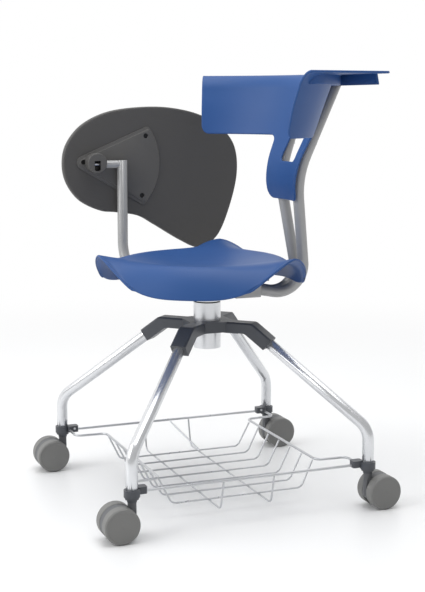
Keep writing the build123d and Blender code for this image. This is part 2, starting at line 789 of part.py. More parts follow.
def arm_stub():
    """Short tube from the top of the post to the drum, coped to the post."""
    reach = ARM_Y - SPIN_Y - FLIP_HUB_R - 0.4
    stub = flip_axis(0, reach, STUB_R) - flip_axis(reach - 12, reach + 1, PIN_R + 0.02)
    return stub - Pos(ARM_X, ARM_Y, FLIP_Z) * Cylinder(TUBE_R + 0.02, 60)


def arm_pin():
    reach = ARM_Y - SPIN_Y
    return flip_axis(reach - FLIP_HUB_R - 12.3, reach + PIN_IN_DRUM - 5, PIN_R)


def spin_axis(near, far, radius):
    """Round bar on the spin axis of the tablet, between two places in X."""
    return rod((near, SPIN_Y, SPIN_Z), (far, SPIN_Y, SPIN_Z), radius)


def flip_hub():
    """Drum that flips on the pin and carries the tablet on its spigot."""
    near = FLIP_HUB_X[1]
    drum = spin_axis(near, FLIP_HUB_X[0], FLIP_HUB_R)
    drum = chamfer(drum.edges().sort_by(Axis.X)[-1], 1.2)
    width, height, depth = WINDOW
    window = box_between(
        (near - depth, SPIN_Y - width / 2, SPIN_Z - height + WINDOW_TOP),
        (near + 2, SPIN_Y + width / 2, SPIN_Z + WINDOW_TOP))
    window = fillet(window.edges().filter_by(Axis.X).group_by(Axis.Z)[0], 4)
    tip = FLIP_HUB_X[0] - FACE_GAP - BRACKET_T - WASHER_T - 1
    drum = drum - window + spin_axis(FLIP_HUB_X[0] + 2, tip, SPIGOT_R)
    reach = ARM_Y - SPIN_Y
    return drum - flip_axis(reach - FLIP_HUB_R - 1, reach + PIN_IN_DRUM - 4.5, PIN_R + RUN_CLEAR)


def pivot_washer():
    """Retaining washer on the end of the spigot, inside the tablet."""
    near = FLIP_HUB_X[0] - BRACKET_T - 2 * FACE_GAP
    washer = spin_axis(near, near - WASHER_T, WASHER_R)
    return washer - spin_axis(near + 1, near - WASHER_T - 1, SPIGOT_R)


# ---- tablet ---------------------------------------------------------------------------
BRACKET_X = FLIP_HUB_X[0] - FACE_GAP
TABLET_X = BRACKET_X - BRACKET_T


def spin_plane(x):
    """Plane of the tablet: local x runs rearward, local y runs up."""
    return Plane(origin=(x, TABLET_Y, TABLET_Z), x_dir=(0, 1, 0), z_dir=(1, 0, 0))


def tablet_screw_bars(x_from, x_to, radius):
    bars = []
    for rear, up in SCREW_SPOTS:
        y = TABLET_Y + rear
        z = TABLET_Z + up
        bars.append(rod((x_from, y, z), (x_to, y, z), radius))
    return bars


def tablet_bracket():
    """Three-cornered plate that holds the tablet, bowed on its rear side."""
    left = (-54.5, 3.0)
    top = (126.0, 79.5)
    bottom = (113.5, -94.0)
    outline = Line(left, top) + ThreePointArc(top, (151.5, 1.5), bottom) + Line(bottom, left)
    face = make_face(spin_plane(TABLET_X) * outline)
    plate = extrude(face, BRACKET_T, dir=(1, 0, 0))
    tip = plate.edges().filter_by(Axis.X).sort_by(Axis.Y)
    plate = fillet(tip[0], 15)
    plate = fillet(plate.edges().filter_by(Axis.X).sort_by(Axis.Y)[-2:], 8)
    plate = chamfer(plate.faces().sort_by(Axis.X)[-1].edges(), 2.2)
    plate = plate - spin_axis(BRACKET_X + 1, TABLET_X - 1, SPIGOT_R + RUN_CLEAR)
    for bar in tablet_screw_bars(TABLET_X - 1, BRACKET_X + 1, SCREW_HOLE_R):
        plate = plate - bar
    return plate


def tablet_top():
    outline = Spline(*TABLET_OUTLINE, periodic=True)
    face = make_face(spin_plane(TABLET_X - TABLET_T) * outline)
    top = extrude(face, TABLET_T, dir=(1, 0, 0))
    rims = top.faces().sort_by(Axis.X)
    top = fillet(rims[0].edges() + rims[-1].edges(), TABLET_EDGE_R)
    radius, depth = TABLET_POCKET
    top = top - spin_axis(TABLET_X + 1, TABLET_X - depth, radius)
    for bar in tablet_screw_bars(TABLET_X - 9, TABLET_X + 1, 2.05):
        top = top - bar
    return top


def tablet_screws():
    heads = tablet_screw_bars(TABLET_X + 0.02, TABLET_X + 2.0, SCREW_HOLE_R - 0.5)
    shanks = tablet_screw_bars(TABLET_X - 8.5, TABLET_X + 1.0, 2.0)
    return [head + shank for head, shank in zip(heads, shanks)]


# ---- output ---------------------------------------------------------------------------
def write(name, shapes):
    if not isinstance(shapes, list):
        shapes = [shapes]
    solids = []
    for shape in shapes:
        solids = solids + list(shape.solids())
    part = solids[0] if len(solids) == 1 else Compound(children=solids)
    part.label = name
    export_step(part, "parts/" + name + ".step")


def at_corner(shape, sign, side=1):
    """A caster piece at one corner: the rear pair trails the other way."""
    if side < 0:
        shape = mirror(shape, about=Plane.YZ)
    if sign[1] > 0:
        shape = mirror(shape, about=Plane.XZ)
    return Pos(sign[0] * LEG_XY, sign[1] * LEG_XY, 0) * shape


if __name__ == "__main__":
    os.makedirs("parts", exist_ok=True)
    write("hub_spider", hub_spider())
    write("hub_screws", hub_screws())
    write("column_sleeve", column_sleeve())
    write("column_cap", column_cap())
    write("column_bushes", column_bushes())
    write("leg_clips", leg_clips())
    write("clip_screws", clip_screws())
    write("caster_sockets", caster_sockets())
    write("basket_side_rails", side_rails())
    write("basket_rim_bars", rim_bars())
    write("basket_rim_hooks", rim_hooks())
    write("basket_floor_wires", floor_wires())
    write("basket_end_wires", end_wires())
    write("basket_cross_wires", cross_wires())
    write("basket_cross_ends", cross_ends())
    write("basket_brace", basket_brace())
    for name, sign in CORNERS.items():
        write("leg_" + name, leg(sign))
        write("caster_frame_" + name, at_corner(caster_frame(), sign))
        write("caster_stem_" + name, at_corner(caster_stem(), sign))
        write("caster_axle_" + name, at_corner(caster_axle(), sign))
        write("wheel_inner_" + name, at_corner(wheel(), sign, -sign[0]))
        write("wheel_outer_" + name, at_corner(wheel(), sign, sign[0]))
    write("seat_shell", seat_shell())
    write("seat_plate", seat_plate())
    write("seat_spindle", seat_spindle())
    write("seat_hub", seat_hub())
    write("seat_screws", seat_screws())
    write("tube_saddle", tube_saddle())
    write("back_tube_left", back_tube(1))
    write("back_tube_right", back_tube(-1))
    write("back_shell", back_shell())
    write("back_screws", back_screws())
    write("arm_tube", arm_tube())
    write("arm_collar", arm_collar())
    write("arm_stub", arm_stub())
    write("arm_pin", arm_pin())
    write("flip_hub", flip_hub())
    write("pivot_washer", pivot_washer())
    write("tablet_bracket", tablet_bracket())
    write("tablet_top", tablet_top())
    write("tablet_screws", tablet_screws())
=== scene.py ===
"""Looks of the student chair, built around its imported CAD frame. Metres, +Z up, sitter faces -Y."""
import json
import math

import bmesh
import bpy
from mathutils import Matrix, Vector, geometry, kdtree

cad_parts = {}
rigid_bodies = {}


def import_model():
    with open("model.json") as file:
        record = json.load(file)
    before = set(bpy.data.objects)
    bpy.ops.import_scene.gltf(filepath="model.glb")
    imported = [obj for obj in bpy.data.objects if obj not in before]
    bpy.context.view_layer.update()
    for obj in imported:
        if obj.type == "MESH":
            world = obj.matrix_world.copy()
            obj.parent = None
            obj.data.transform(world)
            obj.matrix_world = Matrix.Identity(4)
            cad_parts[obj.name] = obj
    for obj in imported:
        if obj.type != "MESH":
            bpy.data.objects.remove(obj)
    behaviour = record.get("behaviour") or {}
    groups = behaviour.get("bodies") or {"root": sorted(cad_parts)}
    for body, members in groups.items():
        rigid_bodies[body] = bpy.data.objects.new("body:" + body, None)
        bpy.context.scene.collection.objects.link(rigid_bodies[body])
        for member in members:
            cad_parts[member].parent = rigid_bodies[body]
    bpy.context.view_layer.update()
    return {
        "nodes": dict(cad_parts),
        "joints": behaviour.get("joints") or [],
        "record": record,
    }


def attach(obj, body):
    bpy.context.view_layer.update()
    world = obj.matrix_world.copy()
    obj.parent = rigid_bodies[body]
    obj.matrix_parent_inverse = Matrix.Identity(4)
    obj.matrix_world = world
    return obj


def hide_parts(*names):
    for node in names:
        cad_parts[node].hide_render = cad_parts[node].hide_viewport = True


CORNERS = {
    "front_left": (1, -1),
    "front_right": (-1, -1),
    "rear_left": (1, 1),
    "rear_right": (-1, 1),
}

for leftover in list(bpy.data.objects):
    bpy.data.objects.remove(leftover)

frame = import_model()
NODES = frame["nodes"]


# ---- materials ------------------------------------------------------------------------
BUMP_HEIGHT = 0.0002
TURNED = (1.0, 1.0, 30.0)    # stretch of the marks on turned metal
TURNED_FINE = (1.0, 1.0, 40.0)
TURNED_BUMP = (1.0, 1.0, 24.0)


class Shader:
    """A material with one principled shader and small helpers to feed it."""

    def __init__(self, name, color, roughness, metallic=0.0, specular=0.5):
        self.material = bpy.data.materials.new(name)
        self.material.use_nodes = True
        self.tree = self.material.node_tree
        self.bsdf = self.tree.nodes["Principled BSDF"]
        self.coords = self.tree.nodes.new("ShaderNodeTexCoord").outputs["Object"]
        self.bsdf.inputs["Base Color"].default_value = (*color, 1.0)
        self.bsdf.inputs["Roughness"].default_value = roughness
        self.bsdf.inputs["Metallic"].default_value = metallic
        self.bsdf.inputs["Specular IOR Level"].default_value = specular

    def noise(self, scale, detail=3.0, stretch=(1.0, 1.0, 1.0)):
        mapping = self.tree.nodes.new("ShaderNodeMapping")
        mapping.inputs["Scale"].default_value = stretch
        texture = self.tree.nodes.new("ShaderNodeTexNoise")
        texture.inputs["Scale"].default_value = scale
        texture.inputs["Detail"].default_value = detail
        self.tree.links.new(self.coords, mapping.inputs["Vector"])
        self.tree.links.new(mapping.outputs["Vector"], texture.inputs["Vector"])
        return texture.outputs["Fac"]

    def vary_color(self, source, color, low, high):
        """Base colour that drifts between two factors of the colour."""
        mix = self.tree.nodes.new("ShaderNodeMix")
        mix.data_type = "RGBA"
        ends = [socket for socket in mix.inputs if socket.type == "RGBA"]
        for socket, factor in zip(ends, (low, high)):
            socket.default_value = (*(c * factor for c in color), 1.0)
        result = next(socket for socket in mix.outputs if socket.type == "RGBA")
        self.tree.links.new(source, mix.inputs["Factor"])
        self.tree.links.new(result, self.bsdf.inputs["Base Color"])

    def vary_roughness(self, source, low, high):
        remap = self.tree.nodes.new("ShaderNodeMapRange")
        remap.inputs["To Min"].default_value = low
        remap.inputs["To Max"].default_value = high
        self.tree.links.new(source, remap.inputs["Value"])
        self.tree.links.new(remap.outputs["Result"], self.bsdf.inputs["Roughness"])

    def bump(self, source, strength):
        bump = self.tree.nodes.new("ShaderNodeBump")
        bump.inputs["Strength"].default_value = strength
        bump.inputs["Distance"].default_value = BUMP_HEIGHT
        self.tree.links.new(source, bump.inputs["Height"])
        self.tree.links.new(bump.outputs["Normal"], self.bsdf.inputs["Normal"])

    def glow(self):
        """Output of a white emission of strength 1."""
        node = self.tree.nodes.new("ShaderNodeEmission")
        node.inputs["Color"].default_value = (1.0, 1.0, 1.0, 1.0)
        node.inputs["Strength"].default_value = 1.0
        return node.outputs["Emission"]

    def surface(self, shader_output):
        surface = self.tree.nodes["Material Output"].inputs["Surface"]
        self.tree.links.new(shader_output, surface)


def moulded(name, color, roughness, specular=0.5):
    """Injection-moulded plastic: fine grain and slow drift of colour and gloss."""
    look = Shader(name, color, roughness, specular=specular)
    look.vary_color(look.noise(9.0), color, 0.94, 1.06)
    look.vary_roughness(look.noise(23.0), roughness - 0.04, roughness + 0.05)
    look.bump(look.noise(1400.0, 2.0), 0.12)
    return look.material


def powder_coat(name, color, roughness, metallic):
    """Powder-coated or satin metal with a faint orange peel."""
    look = Shader(name, color, roughness, metallic)
    look.vary_color(look.noise(30.0), color, 0.97, 1.03)
    look.vary_roughness(look.noise(60.0), roughness - 0.03, roughness + 0.04)
    look.bump(look.noise(900.0, 2.0), 0.06)
    return look.material


def brushed(name, color, roughness):
    """Turned or drawn metal with fine marks round the axis."""
    look = Shader(name, color, roughness, 1.0)
    look.vary_color(look.noise(40.0, 4.0, TURNED), color, 0.9, 1.05)
    look.vary_roughness(look.noise(50.0, 4.0, TURNED_FINE), roughness - 0.06, roughness + 0.08)
    look.bump(look.noise(120.0, 3.0, TURNED_BUMP), 0.05)
    return look.material


MATERIALS = {
    "hub_charcoal": moulded("hub_charcoal", (0.060, 0.065, 0.076), 0.38),
    "zinc": brushed("zinc", (0.60, 0.61, 0.63), 0.34),
    "column_silver": brushed("column_silver", (0.72, 0.73, 0.75), 0.30),
    "black_plastic": moulded("black_plastic", (0.012, 0.012, 0.013), 0.5),
    "basket_wire": powder_coat("basket_wire", (0.56, 0.57, 0.59), 0.28, 0.8),
    "leg_silver": powder_coat("leg_silver", (0.74, 0.75, 0.77), 0.24, 0.82),
    # Caster hood: partly its own dark grey, partly painted shade, made darker so it paints the shade
    # in the gaps between hood and wheels.
    "caster_grey": moulded("caster_grey", (0.100, 0.104, 0.112), 0.45),
    "wheel_grey": moulded("wheel_grey", (0.185, 0.185, 0.180), 0.5),
    "shell_blue": moulded("shell_blue", (0.019, 0.073, 0.236), 0.45, specular=0.3),
    "frame_grey": powder_coat("frame_grey", (0.36, 0.36, 0.36), 0.42, 0.35),
    "arm_grey": powder_coat("arm_grey", (0.365, 0.367, 0.368), 0.42, 0.35),
    "drum_grey": moulded("drum_grey", (0.083, 0.081, 0.079), 0.5),
    "tablet_charcoal": moulded("tablet_charcoal", (0.064, 0.062, 0.061), 0.55),
    "black_screw": powder_coat("black_screw", (0.008, 0.008, 0.008), 0.4, 0.4),
}

for row in frame["record"]["subparts"]:
    if row["node"] in NODES:
        materials = NODES[row["node"]].data.materials
        materials.clear()
        materials.append(MATERIALS[row["material_slot"]])


# ---- mesh building --------------------------------------------------------------------
MM = 0.001
WELD = 1e-3                  # millimetres within which vertices are joined
CHAMFER = 0.0008             # on the tubes' ends: it only softens the shading there
RIM_STEPS = 4
SHARP_ANGLE = 40             # degrees


def finish_mesh(name, bm, slot, body, replaced=(), flat_angle=None):
    """Turns a bmesh in millimetres into an object that rides on a body and stands for CAD nodes.
    Edges sharper than the flat angle, in degrees, stay sharp."""
    bmesh.ops.remove_doubles(bm, verts=bm.verts, dist=WELD)
    bmesh.ops.scale(bm, vec=(MM, MM, MM), verts=bm.verts)
    bmesh.ops.recalc_face_normals(bm, faces=bm.faces)
    for face in bm.faces:
        face.smooth = True
    if flat_angle is not None:
        limit = math.radians(flat_angle)
        for edge in bm.edges:
            if len(edge.link_faces) == 2 and edge.calc_face_angle() > limit:
                edge.smooth = False
    mesh = bpy.data.meshes.new(name)
    bm.to_mesh(mesh)
    bm.free()
    obj = bpy.data.objects.new(name, mesh)
    bpy.context.collection.objects.link(obj)
    mesh.materials.append(MATERIALS[slot])
    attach(obj, body)
    if replaced:
        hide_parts(*replaced)


def quarter_turn(steps):
    """Even angles from 0 to 90 degrees."""
    return [k / steps * math.pi / 2 for k in range(steps + 1)]


def rim_profile(thickness, radius):
    """Loops round a plate's edge as (outward, downward) from the edge of its face."""
    turns = quarter_turn(RIM_STEPS)
    rows = [(radius * (math.sin(a) - 1), radius * (1 - math.cos(a))) for a in turns]
    rows += [(radius * (math.cos(a) - 1), thickness - radius * (1 - math.sin(a))) for a in turns]
    return rows


def thicken(points, normals, faces, loops, thickness, radius):
    """Closed plate from a surface: the face, its far side and a rounded rim round every loop.
    Loops run with the material on their left, seen from the side the normals point to."""
    bm = bmesh.new()
    rows = rim_profile(thickness, radius)
    rims = {}
    for loop in loops:
        count = len(loop)
        for i, index in enumerate(loop):
            along = points[loop[(i + 1) % count]] - points[loop[i - 1]]
            outward = along.cross(normals[index]).normalized()
            rims[index] = [points[index] + outward * out - normals[index] * down
                           for out, down in rows]
    top, low = [], []
    for index, (point, normal) in enumerate(zip(points, normals)):
        rim = rims.get(index)
        top.append(bm.verts.new(rim[0] if rim else point))
        low.append(bm.verts.new(rim[-1] if rim else point - normal * thickness))
    for face in faces:
        bm.faces.new([top[i] for i in face])
        bm.faces.new([low[i] for i in reversed(face)])
    for loop in loops:
        rings = [[bm.verts.new(rims[i][k]) for i in loop] for k in range(1, len(rows) - 1)]
        bands(bm, [[top[i] for i in loop], *rings, [low[i] for i in loop]])
    return bm


def bands(bm, rings):
    """Bands of quads between neighbouring closed rings, all of the same count."""
    for first, second in zip(rings, rings[1:]):
        for i in range(len(first)):
            j = (i + 1) % len(first)
            bm.faces.new((first[j], first[i], second[i], second[j]))


def skin(bm, rings):
    """Bands through the rings with a cap on the first and on the last."""
    bm.faces.new(rings[0])
    bands(bm, rings)
    bm.faces.new(list(reversed(rings[-1])))


def arc_path(points, radii, step):
    """Points along straight runs joined by arcs, with arcs cut every few degrees."""
    corners = [Vector(p) for p in points]
    path = [corners[0]]
    for i in range(1, len(corners) - 1):
        to_before = (corners[i - 1] - corners[i]).normalized()
        to_after = (corners[i + 1] - corners[i]).normalized()
        half = math.acos(max(-1.0, min(1.0, to_before.dot(to_after)))) / 2
        radius = radii[i - 1]
        centre = corners[i] + (to_before + to_after).normalized() * (radius / math.sin(half))
        start = corners[i] + to_before * (radius / math.tan(half)) - centre
        end = corners[i] + to_after * (radius / math.tan(half)) - centre
        turn = math.pi - 2 * half
        count = max(3, round(math.degrees(turn) / step))
        for k in range(count + 1):
            t = k / count
            path.append(centre + (start * math.sin((1 - t) * turn)
                                  + end * math.sin(t * turn)) / math.sin(turn))
    path.append(corners[-1])
    return path


def round_bar(bm, path, radius, sides):
    """Solid round bar along a path, with a hairline chamfer at both ends."""
    last = len(path) - 1
    tangents = [(path[min(i + 1, last)] - path[max(i - 1, 0)]).normalized()
                for i in range(len(path))]
    across = tangents[0].orthogonal().normalized()
    frames = []
    for tangent in tangents:
        across = (across - tangent * across.dot(tangent)).normalized()
        frames.append((across, tangent.cross(across)))
    ends = [(0.0, CHAMFER), (0.3 * CHAMFER, 0.3 * CHAMFER), (CHAMFER, 0.0)]
    rows = [(0, along, radius - inward) for along, inward in ends]
    rows += [(i, 0.0, radius) for i in range(1, last)]
    rows += [(last, -along, radius - inward) for along, inward in reversed(ends)]
    turns = [2 * math.pi * k / sides for k in range(sides)]
    rings = []
    for i, along, r in rows:
        centre = path[i] + tangents[i] * along
        across, up = frames[i]
        rings.append([bm.verts.new(centre + across * (r * math.cos(a)) + up * (r * math.sin(a)))
                      for a in turns])
    skin(bm, rings)


# ---- seat shell -----------------------------------------------------------------------
SEAT_CENTRE_Y = -5.0
SHELL_T = 4.5
SHELL_EDGE_R = 1.9
SEAT_DISH_Z = 458.0
SEAT_RISE = 25.0
SEAT_CORNER_R = 217.0
SEAT_FLAP_R = 196.0
SEAT_REAR_TRIM = 17.0
SEAT_DROOP = 66.0
SEAT_REAR_DROOP = 54.0
SEAT_ROLL_R = 140.0
SEAT_ROLL_POWER = 2.2
SEAT_ROLL_LIMIT = 1.5
SEAT_FLAP_POWER = 0.8
SEAT_RINGS = 44
SEAT_RING_POWER = 1.35       # brings the rings closer together towards the edge
SEAT_SECTORS = 192


def flap_weight(angle):
    """0 at the three raised corners, 1 at the middle of the three flaps."""
    return (1 - math.cos(3 * (angle + math.pi / 2))) / 2


def rear_weight(angle):
    """1 at the middle of the rear flap, fading to 0 at the sides."""
    return max(0.0, math.sin(angle)) ** 4


def seat_radius(angle):
    """Edge of the seat, seen from above."""
    flap = (SEAT_CORNER_R - SEAT_FLAP_R) * flap_weight(angle)
    return SEAT_CORNER_R - flap - SEAT_REAR_TRIM * rear_weight(angle)


def seat_height(x, y):
    """Shallow dish whose edge rolls down over the three flaps."""
    radius = math.hypot(x, y)
    angle = math.atan2(y, x)
    rear = rear_weight(angle)
    flap_r = SEAT_FLAP_R - SEAT_REAR_TRIM * rear
    droop = SEAT_DROOP - (SEAT_DROOP - SEAT_REAR_DROOP) * rear
    roll = max(0.0, (radius - SEAT_ROLL_R) / (flap_r - SEAT_ROLL_R)) ** SEAT_ROLL_POWER
    drop = droop * flap_weight(angle) ** SEAT_FLAP_POWER * min(roll, SEAT_ROLL_LIMIT)
    return SEAT_DISH_Z + SEAT_RISE * (radius / SEAT_CORNER_R) ** 2 - drop


def seat_point(x, y):
    return Vector((x, y + SEAT_CENTRE_Y, seat_height(x, y)))


def seat_normal(x, y, step=0.5):
    along_x = seat_point(x + step, y) - seat_point(x - step, y)
    along_y = seat_point(x, y + step) - seat_point(x, y - step)
    return along_x.cross(along_y).normalized()


def seat_look():
    """Three-flapped seat as rings round its centre."""
    points = [seat_point(0, 0)]
    normals = [Vector((0, 0, 1))]
    faces = []
    for k in range(1, SEAT_RINGS + 1):
        share = 1 - (1 - k / SEAT_RINGS) ** SEAT_RING_POWER
        for i in range(SEAT_SECTORS):
            angle = 2 * math.pi * i / SEAT_SECTORS
            reach = share * seat_radius(angle)
            x, y = reach * math.cos(angle), reach * math.sin(angle)
            points.append(seat_point(x, y))
            normals.append(seat_normal(x, y))
    for i in range(SEAT_SECTORS):
        j = (i + 1) % SEAT_SECTORS
        faces.append((0, 1 + i, 1 + j))
        for k in range(SEAT_RINGS - 1):
            a = 1 + k * SEAT_SECTORS
            b = a + SEAT_SECTORS
            faces.append((a + i, b + i, b + j, a + j))
    rim = [1 + (SEAT_RINGS - 1) * SEAT_SECTORS + i for i in range(SEAT_SECTORS)]
    bm = thicken(points, normals, faces, [rim], SHELL_T, SHELL_EDGE_R)
    finish_mesh("seat_shell_look", bm, "shell_blue", "seat", ["seat_shell"])


# ---- back shell -----------------------------------------------------------------------
# height, half width between the wing tips, tip y, inner rear y
BACK_STATIONS = (
    (572.0, 205.0, 48.0, 169.5),
    (612.0, 205.0, 50.0, 164.5),
    (655.0, 206.0, 58.0, 173.0),
    (705.0, 210.8, 69.6, 196.5),
    (760.0, 222.7, 75.4, 216.5),
    (796.0, 235.0, 81.0, 229.0),
)
ROLL_START_Z = 796.0
LEDGE_Z = 822.0
ROLL_RISE = LEDGE_Z + SHELL_T - ROLL_START_Z
ROLL_REACH = 30.0
ROLL_LEAN = 0.3
ROLL_ARC = ROLL_RISE * math.pi / 2
DOMAIN_HALF = 290.0          # half width of the flat domain the back is drawn on
LEDGE_HALF_X = 262.0
LEDGE_REAR_X = 250.0
LEDGE_SIDE_Y = 94.0
LEDGE_REAR_Y = 262.0
WING_BOTTOM_Z = 705.0
SLOT_HALF_W = 32.0
SLOT_Z = (654.0, 734.0)
SLOT_CORNER_R = 10.0
LIP_DROP = 20.0
STEM_OUTLINE = ((0, 577), (62, 577), (66, 612), (81, WING_BOTTOM_Z))     # x and height
BACK_CORNER_RADII = (24, 60, 16, 19)
LEDGE_CORNER_R = 8

FLAT_STEP = 9.0              # degrees between the points of a rounded corner
OUTLINE_GAP = 5.0            # longest edges along the outlines
LEDGE_GAP = 6.0
SLOT_GAP = 4.0
GRID_GAP = 5.5               # spacing of the points that fill the back
ROLL_GAP = 3.0
GRID_BANDS = (               # lowest row, highest row, spacing
    (577.0, 790.0, GRID_GAP),
    (793.0, ROLL_START_Z + ROLL_ARC + 3.0, ROLL_GAP),
    (ROLL_START_Z + ROLL_ARC + 8.0, 1010.0, LEDGE_GAP),
)
EDGE_BAND = 3.2              # a row of points follows each edge at this distance
KEEP_OFF = 5.6               # of the grid's points from every edge
KEEP_INSIDE = 1              # the triangulation's mode that keeps what the edges enclose
MERGE_DISTANCE = 1e-5


def station(z, column):
    """Smooth value between the stations at a height."""
    rows = BACK_STATIONS
    z = min(max(z, rows[0][0]), rows[-1][0])
    i = max(k for k in range(len(rows) - 1) if rows[k][0] <= z)
    before, low = rows[max(i - 1, 0)], rows[i]
    high, after = rows[i + 1], rows[min(i + 2, len(rows) - 1)]
    span = high[0] - low[0]
    t = (z - low[0]) / span
    slope_low = span * (high[column] - before[column]) / (high[0] - before[0])
    slope_high = span * (after[column] - low[column]) / (after[0] - low[0])
    return (low[column] * (2 * t**3 - 3 * t**2 + 1) + slope_low * (t**3 - 2 * t**2 + t)
            + high[column] * (3 * t**2 - 2 * t**3) + slope_high * (t**3 - t**2))


def band_arc(z):
    """Radius, centre y and half angle of the inner face at a height."""
    half = station(z, 1)
    tip_y = station(z, 2)
    rear_y = station(z, 3)
    depth = rear_y - tip_y
    radius = (depth**2 + half**2) / (2 * depth)
    return radius, rear_y - radius, math.atan2(half, tip_y - rear_y + radius)


def roll_out(angle):
    """Outward reach of the face of the rolled wall at an angle of the roll."""
    lean = ROLL_LEAN * ROLL_RISE
    return lean * math.sin(angle) + (ROLL_REACH - lean) * (1 - math.cos(angle))


def back_point(across, rise):
    """Sitter's side of the back from the flat domain."""
    radius, centre_y, half_angle = band_arc(min(rise, ROLL_START_Z))
    turn = across / DOMAIN_HALF * half_angle
    along = max(0.0, rise - ROLL_START_Z)
    angle = min(along / ROLL_ARC, 1.0) * math.pi / 2
    reach = radius + roll_out(angle) + max(0.0, along - ROLL_ARC)
    height = min(rise, ROLL_START_Z) + ROLL_RISE * math.sin(angle)
    return Vector((reach * math.sin(turn), centre_y + reach * math.cos(turn), height))


def back_normal(across, rise, step=0.4):
    along_a = back_point(across + step, rise) - back_point(across - step, rise)
    along_r = back_point(across, rise + step) - back_point(across, rise - step)
    return along_a.cross(along_r).normalized()


def from_front(x, z):
    """Domain place of a point of the back given by its x and height."""
    radius, _, half_angle = band_arc(z)
    return (math.asin(x / radius) / half_angle * DOMAIN_HALF, z)


def from_plan(x, y):
    """Domain place of a point of the flat ledge."""
    radius, centre_y, half_angle = band_arc(ROLL_START_Z)
    out = math.hypot(x, y - centre_y) - radius
    turn = math.atan2(x, y - centre_y)
    return (turn / half_angle * DOMAIN_HALF, ROLL_START_Z + ROLL_ARC + out - ROLL_REACH)


def spaced(points, gap):
    """The polyline's own points with more between them, no further apart than the gap."""
    points = [Vector(p) for p in points]
    rows = []
    for a, b in zip(points, points[1:]):
        parts = max(1, math.ceil((b - a).length / gap))
        rows += [a.lerp(b, k / parts) for k in range(parts)]
    return rows + points[-1:]


def flat_path(points, radii):
    """Plane path with rounded corners."""
    return [p.xy for p in arc_path([(x, y, 0) for x, y in points], radii, FLAT_STEP)]


def back_outline():
    """Outline of the back in the domain, anticlockwise from the middle of its lower edge."""
    lower = [from_front(x, z) for x, z in STEM_OUTLINE]
    tip = (DOMAIN_HALF, WING_BOTTOM_Z)
    roll_end = (DOMAIN_HALF, ROLL_START_Z + ROLL_ARC)
    right = flat_path(lower + [tip, roll_end], BACK_CORNER_RADII)
    rear = [(LEDGE_HALF_X, LEDGE_SIDE_Y), (LEDGE_REAR_X, LEDGE_REAR_Y), (0, LEDGE_REAR_Y)]
    plan = flat_path(rear, (LEDGE_CORNER_R,))
    ledge = [Vector(from_plan(*p)) for p in spaced(plan, LEDGE_GAP)]
    half = spaced(right, OUTLINE_GAP) + ledge[1:]
    mirror = [Vector((-p.x, p.y)) for p in reversed(half[1:-1])]
    return half + mirror


def slot_ring():
    """Outline of the hand slot as x and height, clockwise."""
    w, r = SLOT_HALF_W, SLOT_CORNER_R
    low, high = SLOT_Z
    corners = [(0, low), (-w, low), (-w, high), (w, high), (w, low), (0, low)]
    return spaced(flat_path(corners, (r, r, r, r)), SLOT_GAP)[:-1]


def inside(point, loop):
    """Whether the closed loop goes round the point."""
    hit = False
    for i, b in enumerate(loop):
        a = loop[i - 1]
        if (a.y > point.y) != (b.y > point.y):
            if point.x < a.x + (point.y - a.y) / (b.y - a.y) * (b.x - a.x):
                hit = not hit
    return hit


def fill_points(loops, columns, rows, keep_off):
    """Grid points inside the first loop and outside the others, clear of every loop."""
    edge = [p for loop in loops for p in loop]
    tree = kdtree.KDTree(len(edge))
    for index, p in enumerate(edge):
        tree.insert((p.x, p.y, 0), index)
    tree.balance()
    chosen = []
    for y in rows:
        for x in columns:
            point = Vector((x, y))
            if tree.find((x, y, 0))[2] < keep_off or not inside(point, loops[0]):
                continue
            if not any(inside(point, loop) for loop in loops[1:]):
                chosen.append(point)
    return chosen


def inset(loop, distance):
    """Loop moved towards the material on its left."""
    rows = []
    for i, p in enumerate(loop):
        along = (loop[(i + 1) % len(loop)] - loop[i - 1]).normalized()
        rows.append(p + Vector((-along.y, along.x)) * distance)
    return rows


def triangulate(loops, extra):
    """Triangles of the area inside the first loop and outside the others."""
    flat = [p.copy() for loop in loops for p in loop] + extra
    edges = []
    start = 0
    for loop in loops:
        count = len(loop)
        edges += [(start + i, start + (i + 1) % count) for i in range(count)]
        start += count
    verts, _, faces, *_ = geometry.delaunay_2d_cdt(flat, edges, [], KEEP_INSIDE, MERGE_DISTANCE)
    kept = []
    for a, b, c in faces:
        middle = (verts[a] + verts[b] + verts[c]) / 3
        if not any(inside(middle, loop) for loop in loops[1:]):
            kept.append((a, b, c))
    return verts, kept


def stepped(low, high, gap):
    """Even values from low to high, about a gap apart."""
    count = max(1, round((high - low) / gap))
    return [low + (high - low) * k / count for k in range(count + 1)]


def back_look():
    """Winged back, its rolled top and the ledge, as one surface with a slot."""
    outline = back_outline()
    slot = [Vector(from_front(p.x, p.y)) for p in slot_ring()]
    loops = [outline, slot]
    columns = stepped(-DOMAIN_HALF, DOMAIN_HALF, GRID_GAP)
    rows = [z for band in GRID_BANDS for z in stepped(*band)]
    near = [p for p in inset(outline, EDGE_BAND) + inset(slot, EDGE_BAND)
            if inside(p, outline) and not inside(p, slot)]
    flat, faces = triangulate(loops, near + fill_points(loops, columns, rows, KEEP_OFF))
    points = [back_point(p.x, p.y) for p in flat]
    normals = [back_normal(p.x, p.y) for p in flat]
    count = len(outline)
    rims = [list(range(count)), list(range(count, count + len(slot)))]
    bm = thicken(points, normals, faces, rims, SHELL_T, SHELL_EDGE_R)
    finish_mesh("back_shell_look", bm, "shell_blue", "seat", ["back_shell"])


def ring_at(loop, share):
    """Point at a share of a closed loop's length."""
    lengths = [(loop[(i + 1) % len(loop)] - p).length for i, p in enumerate(loop)]
    goal = share * sum(lengths)
    for i, length in enumerate(lengths):
        if goal <= length:
            return loop[i].lerp(loop[(i + 1) % len(loop)], goal / length)
        goal -= length
    return loop[0].copy()


